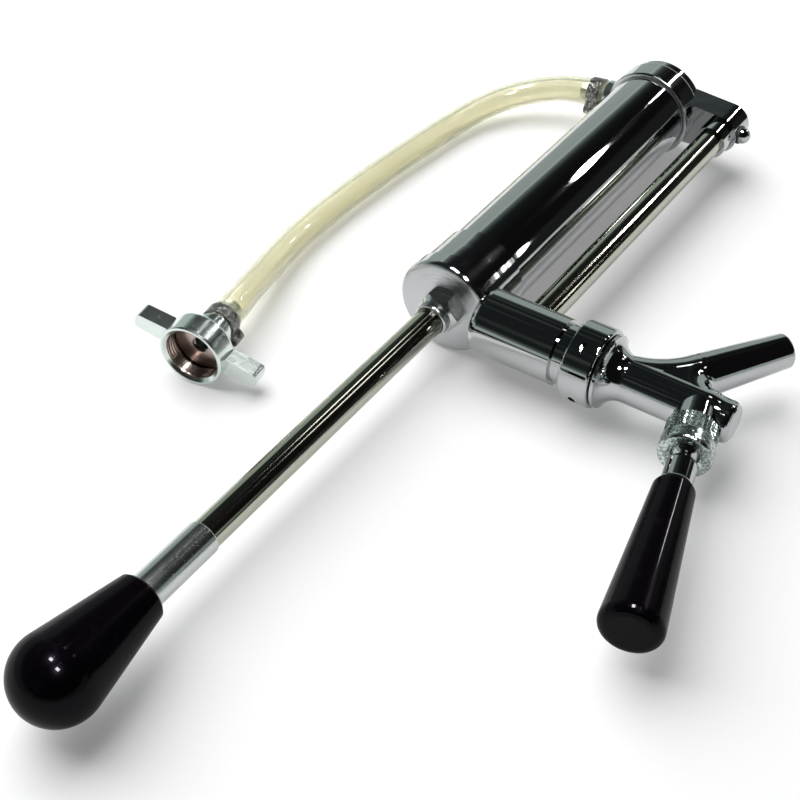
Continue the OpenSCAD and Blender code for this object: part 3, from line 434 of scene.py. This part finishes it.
WING_FACE = Vector((-141.3, -59.1, 14.7))
WING_YAW = radians(9)
WING_OUT = Vector((sin(WING_YAW), -cos(WING_YAW), 0))
WING_SIDE = Vector((cos(WING_YAW), sin(WING_YAW), 0))
HOSE_END = -21.3
BARB_DIP = radians(6)
BARB_OUT = Vector((-cos(BARB_DIP), 0, -sin(BARB_DIP)))
BARB_TIP = 26
PASSAGE_H = 9.5
HOSE_R = 6.5
HOSE_BORE_R = 4.5
HOSE_SWELL = 0.4
SWELL_LEN = 14
SWELL_FADE = 8
HOSE_ROUTE = [
    (-112.5, 211.2, 17), (-121.9, 208.3, 15.4), (-130.6, 203.5, 13.6), (-138.3, 197, 11.8),
    (-144.5, 189.1, 10.1), (-149, 180.2, 8.7), (-152.1, 170.3, 7.7), (-154.4, 159, 7.2),
    (-156.2, 145, 7), (-158.6, 123, 7), (-160.5, 97.5, 7), (-161.8, 71, 7),
    (-161.4, 46, 7.2), (-158.6, 25, 8.6), (-154.6, 8, 10.9), (-150.8, -7, 13.3),
]
BARB_STRAIGHT = (0, 4.75, 9.5)
TAIL_STRAIGHT = (20, 10, 0)
HOSE_STEPS = 4
PATH_STEPS = 3
HOSE_SIDES = 36


def hose_points():
    """Points of the hose's route, in millimetres."""
    passage = Vector((-MID_X, MID_H - PASSAGE_H, REST_R))
    leaves = [passage + (BARB_TIP + s) * BARB_OUT for s in BARB_STRAIGHT]
    enters = [WING_FACE + (HOSE_END - s) * WING_OUT for s in TAIL_STRAIGHT]
    return leaves + [Vector(p) for p in HOSE_ROUTE] + enters


def smooth_way(points, steps):
    """Points on a smooth curve through the given ones, as the part's source draws it."""
    way = []
    last = len(points) - 1
    for i in range(last):
        a, b, c, d = (points[min(max(i + k, 0), last)] for k in (-1, 0, 1, 2))
        for k in range(steps):
            t = k / steps
            bend = (2 * a - 5 * b + 4 * c - d) * t * t
            twist = (3 * b - a - 3 * c + d) * t**3
            way.append(0.5 * (2 * b + (c - a) * t + bend + twist))
    return way + [points[-1]]


def hose_radius(at, ends):
    """The hose's outer radius there, a little larger where it is pushed over a fitting."""
    from_end = min((at - end).length for end in ends)
    return HOSE_R + HOSE_SWELL * min(1, max(0, 1 - (from_end - SWELL_LEN) / SWELL_FADE))


def add_hose():
    """A clear tube with its bore, closed between the two at both ends."""
    points = hose_points()
    way = smooth_way(points, HOSE_STEPS)
    ends = (points[0], points[-1])
    count = len(way)
    outside, bore = [], []
    for i, at in enumerate(way):
        along = (way[min(i + 1, count - 1)] - way[max(i - 1, 0)]).normalized()
        side = along.cross(UP).normalized()
        up = side.cross(along)
        outside += ring(at, side, up, hose_radius(at, ends), HOSE_SIDES)
        bore += ring(at, side, up, HOSE_BORE_R, HOSE_SIDES)
    inner = len(outside)
    far = inner - HOSE_SIDES
    faces = skin(count, HOSE_SIDES) + skin(count, HOSE_SIDES, inner)
    for j in range(HOSE_SIDES):
        b = (j + 1) % HOSE_SIDES
        faces.append((j, inner + j, inner + b, b))
        faces.append((far + j, far + b, inner + far + b, inner + far + j))
    hose = add_piece("clear_hose", [p * MM for p in outside + bore], faces, VINYL)
    path = [p * MM for p in smooth_way(points, PATH_STEPS)]
    length = sum((b - a).length for a, b in zip(path, path[1:]))
    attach(hose, "pump")
    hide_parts("beer_hose")


# Pipe thread inside the wing nut's mouth

THREAD_CREST = 11.3
THREAD_ROOT = 12.0
THREAD_SUNK = 12.35
THREAD_PITCH = 1.55
THREAD_FROM = -8.0
THREAD_TO = -1.3
THREAD_SIDES = 72
THREAD_ROWS = 6


def thread_point(angle, r, z):
    """A point at that angle round the wing nut's axis, z millimetres out of its face."""
    out = cos(angle) * WING_SIDE + sin(angle) * UP
    return (WING_FACE + r * out + z * WING_OUT) * MM


def add_thread():
    """A lining with a helical ridge that is sharp at the crest and fades out at both ends."""
    rows = int(THREAD_ROWS * (THREAD_TO - THREAD_FROM) / THREAD_PITCH)
    verts, faces = [], []
    for j in range(THREAD_SIDES):
        turn = j / THREAD_SIDES
        angle = 2 * pi * turn
        for i in range(rows + 1):
            z = THREAD_FROM + (THREAD_TO - THREAD_FROM) * i / rows
            wave = abs(2 * ((z / THREAD_PITCH - turn) % 1) - 1)
            fade = min(1, (z - THREAD_FROM) / THREAD_PITCH, (THREAD_TO - z) / THREAD_PITCH)
            r = THREAD_ROOT - (THREAD_ROOT - THREAD_CREST) * wave * fade
            verts.append(thread_point(angle, r, z))
        for z in (THREAD_TO, THREAD_FROM):
            verts.append(thread_point(angle, THREAD_SUNK, z))
    loop = rows + 3
    for j in range(THREAD_SIDES):
        here, there = j * loop, ((j + 1) % THREAD_SIDES) * loop
        for i in range(loop):
            k = (i + 1) % loop
            faces.append((here + i, here + k, there + k, there + i))
    thread = add_piece("wing_nut_thread", verts, faces, BARE)
    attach(thread, "swivel")


# Coil of the check valve, inside the foot

COIL_R = 2.4
COIL_WIRE_R = 0.3
COIL_TURNS = 3
COIL_STEPS = 24
COIL_SIDES = 10


def add_coil():
    """The check valve's spring, drawn as a fixed coil; in the pump the ball presses it together as it
    opens.
    """
    low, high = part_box("check_spring")
    free, fixed = low[1], high[1]
    anchor = (-MID_X * MM, fixed, REST_R * MM)
    wire = COIL_WIRE_R * MM
    steps = COIL_STEPS * COIL_TURNS
    verts = []
    for i in range(steps + 1):
        turn = 2 * pi * i / COIL_STEPS
        out = Vector((cos(turn), 0, sin(turn)))
        at = Vector(anchor) + COIL_R * MM * out
        at.y += (free - fixed + 2 * wire) * i / steps - wire
        verts += ring(at, out, Vector((0, -1, 0)), wire, COIL_SIDES)
    last = steps * COIL_SIDES
    ends = [tuple(range(first, first + COIL_SIDES)) for first in (0, last)]
    coil = add_piece("check_coil", verts, skin(steps + 1, COIL_SIDES) + ends, STEEL)
    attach(coil, "pump")
    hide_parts("check_spring")
    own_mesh(coil)


# Stage: a pale table under a dark ceiling, with far lamps for the highlights and one wide panel overhead

FLOOR_R = 6.0
FLOOR_SIDES = 96
FLOOR_DROP = 0.0002
FLOOR_SHADE = 0.62
FLOOR_GLOW = 0.22
# Each lamp's bearing from +Y towards +X and its height above the table, half its width across the pump and
# half its length along it, all in degrees as seen from the table, and its brightness
LAMPS = [
    (-113, 85, 4.4, 4.4, 150),  # the two dots on the knob
    (121, 66, 4.4, 4.4, 150),
    (18.4, 36.6, 5.0, 1.0, 40),  # the long highlight on the barrel
    (41.5, 17.6, 5.0, 0.35, 7),  # the short one near the barrel's head
    (10.5, 33, 0.6, 2.6, 140),  # the line down the tap handle
    (-8, 53.8, 2.6, 3.3, 4),  # the two thin lines along the rod
    (29, 48.1, 2.6, 3.3, 3),
    (80, 74, 0.7, 0.7, 12),  # sparkles on bright edges
    (160, 60, 0.7, 0.7, 12),
    (-150, 66, 0.7, 0.7, 12),
]
LAMP_FAR = 5.0
PANEL_AT = (-0.95, 0.25, 1.35)
PANEL_SIDE = 2.2
PANEL_BRIGHTNESS = 4.8


def pale_table(shade):
    """Matt white that glows a little, so that it stays white far from the panel."""
    return {
        "Base Color": rgb(FLOOR_SHADE, FLOOR_SHADE, FLOOR_SHADE),
        "Roughness": 0.9,
        "Specular IOR Level": 0.0,
        "Emission Color": rgb(1.0, 1.0, 1.0),
        "Emission Strength": FLOOR_GLOW,
    }


def add_floor():
    """The table's top, a wide flat disc."""
    edge = ring(Vector((0, 0, 0)), Vector((1, 0, 0)), Vector((0, 1, 0)), FLOOR_R, FLOOR_SIDES)
    table = finish_of("pale_table", pale_table)
    floor = add_piece("table", edge, [tuple(range(FLOOR_SIDES))], table, smooth=False)
    floor.location.z = -FLOOR_DROP


def add_light(name, shape, wide, long, brightness, area, at):
    """A flat lamp of an even brightness that faces the middle of the table, its width across the pump."""
    data = bpy.data.lights.new(name, "AREA")
    data.shape = shape
    data.size = wide
    data.size_y = long
    data.energy = brightness * pi * area
    light = put_in_scene(name, data)
    away = Vector(at).normalized()
    across = Vector((0, 1, 0)).cross(away).normalized()
    light.matrix_world = facing(at, across, away.cross(across), away)
    return light


def add_lamp(index, bearing, height, half_wide, half_long, brightness):
    """A far oval lamp for the highlights, which leaves the table to the panel."""
    a, e = radians(bearing), radians(height)
    away = Vector((sin(a) * cos(e), cos(a) * cos(e), sin(e)))
    wide, long = (2 * LAMP_FAR * tan(radians(half)) for half in (half_wide, half_long))
    area = pi * wide * long / 4
    lamp = add_light(f"lamp_{index}", "ELLIPSE", wide, long, brightness, area, away * LAMP_FAR)
    lamp.visible_diffuse = False


def add_panel():
    """Wide soft light for the table, which the plating doesn't mirror."""
    side = PANEL_SIDE
    panel = add_light("panel", "RECTANGLE", side, side, PANEL_BRIGHTNESS, side**2, PANEL_AT)
    panel.visible_glossy = False


WALL_WAY = (-0.5638, 0.8259, 0.0)
WALL_RISE = 0.285
WALL_SWING = 0.27
WALL_BLUR = 0.07
WALL = rgb(0.50, 0.58, 0.54)
WALL_TOP = rgb(0.86, 0.97, 0.93)
WALL_TOP_WIDTH = 0.07
DOOR_WAY = (0.669, 0.743, 0.0)
DOOR_EDGE = 0.93
DOOR_BLUR = 0.04
DOOR = rgb(0.020, 0.022, 0.020)
LEFT_CEILING = rgb(0.020, 0.026, 0.025)
RIGHT_CEILING = rgb(0.008, 0.007, 0.008)
RIGHT_FADE = (-0.6, 0.2)
NEAR_CEILING = rgb(0.20, 0.245, 0.23)
NEAR_CEILING_WIDTH = 0.28
NEAR_FADE = (-0.1, 0.4)
PATCH_CEILING = rgb(0.090, 0.098, 0.095)
PATCH_SCALE = 5.0
PATCH_CLOUD = (0.5, 0.75)
PATCH_FADE = (-0.3, 0.5)


def add_room():
    """Far walls, pale up to a height that is greatest behind the table, and a dark ceiling."""
    world = bpy.data.worlds.new("room")
    world.use_nodes = True
    tree = world.node_tree
    tree.nodes.clear()
    shade = Shade(tree)
    way = shade.node("ShaderNodeTexCoord", out="Generated")
    across = way.part(0)
    leftwards = 0 - across
    height = way.part(2)
    level = (1 - height * height).root()
    below_top = WALL_RISE * level + WALL_SWING * way.along(WALL_WAY) - height

    ceiling = shade.mix(shade.spread(across, *RIGHT_FADE), LEFT_CEILING, RIGHT_CEILING)
    cloud = shade.node("ShaderNodeTexNoise", None, {"Vector": way, "Scale": PATCH_SCALE, "Detail": 4.0})
    patch = shade.spread(cloud, *PATCH_CLOUD) * shade.spread(leftwards, *PATCH_FADE)
    ceiling = shade.mix(patch, ceiling, PATCH_CEILING)
    near = shade.spread(below_top, -NEAR_CEILING_WIDTH, 0.0) * shade.spread(leftwards, *NEAR_FADE)
    ceiling = shade.mix(near * near, ceiling, NEAR_CEILING)

    paint = shade.mix(shade.spread(below_top, WALL_TOP_WIDTH, 0.0), WALL, WALL_TOP)
    door = shade.spread(way.along(DOOR_WAY) - DOOR_EDGE * level, 0.0, DOOR_BLUR)
    paint = shade.mix(door, paint, DOOR)

    colour = shade.mix(shade.spread(below_top, -WALL_BLUR, WALL_BLUR), ceiling, paint)
    light = shade.node("ShaderNodeBackground", None, {"Color": colour, "Strength": 1.0})
    shade.node("ShaderNodeOutputWorld", None, {"Surface": light})
    bpy.context.scene.world = world


add_camera()
add_hose()
add_thread()
add_coil()
dress_nodes()
add_floor()
add_room()
for number, lamp in enumerate(LAMPS):
    add_lamp(number, *lamp)
add_panel()
bpy.context.scene.view_settings.view_transform = "Standard"

bpy.context.view_layer.update()
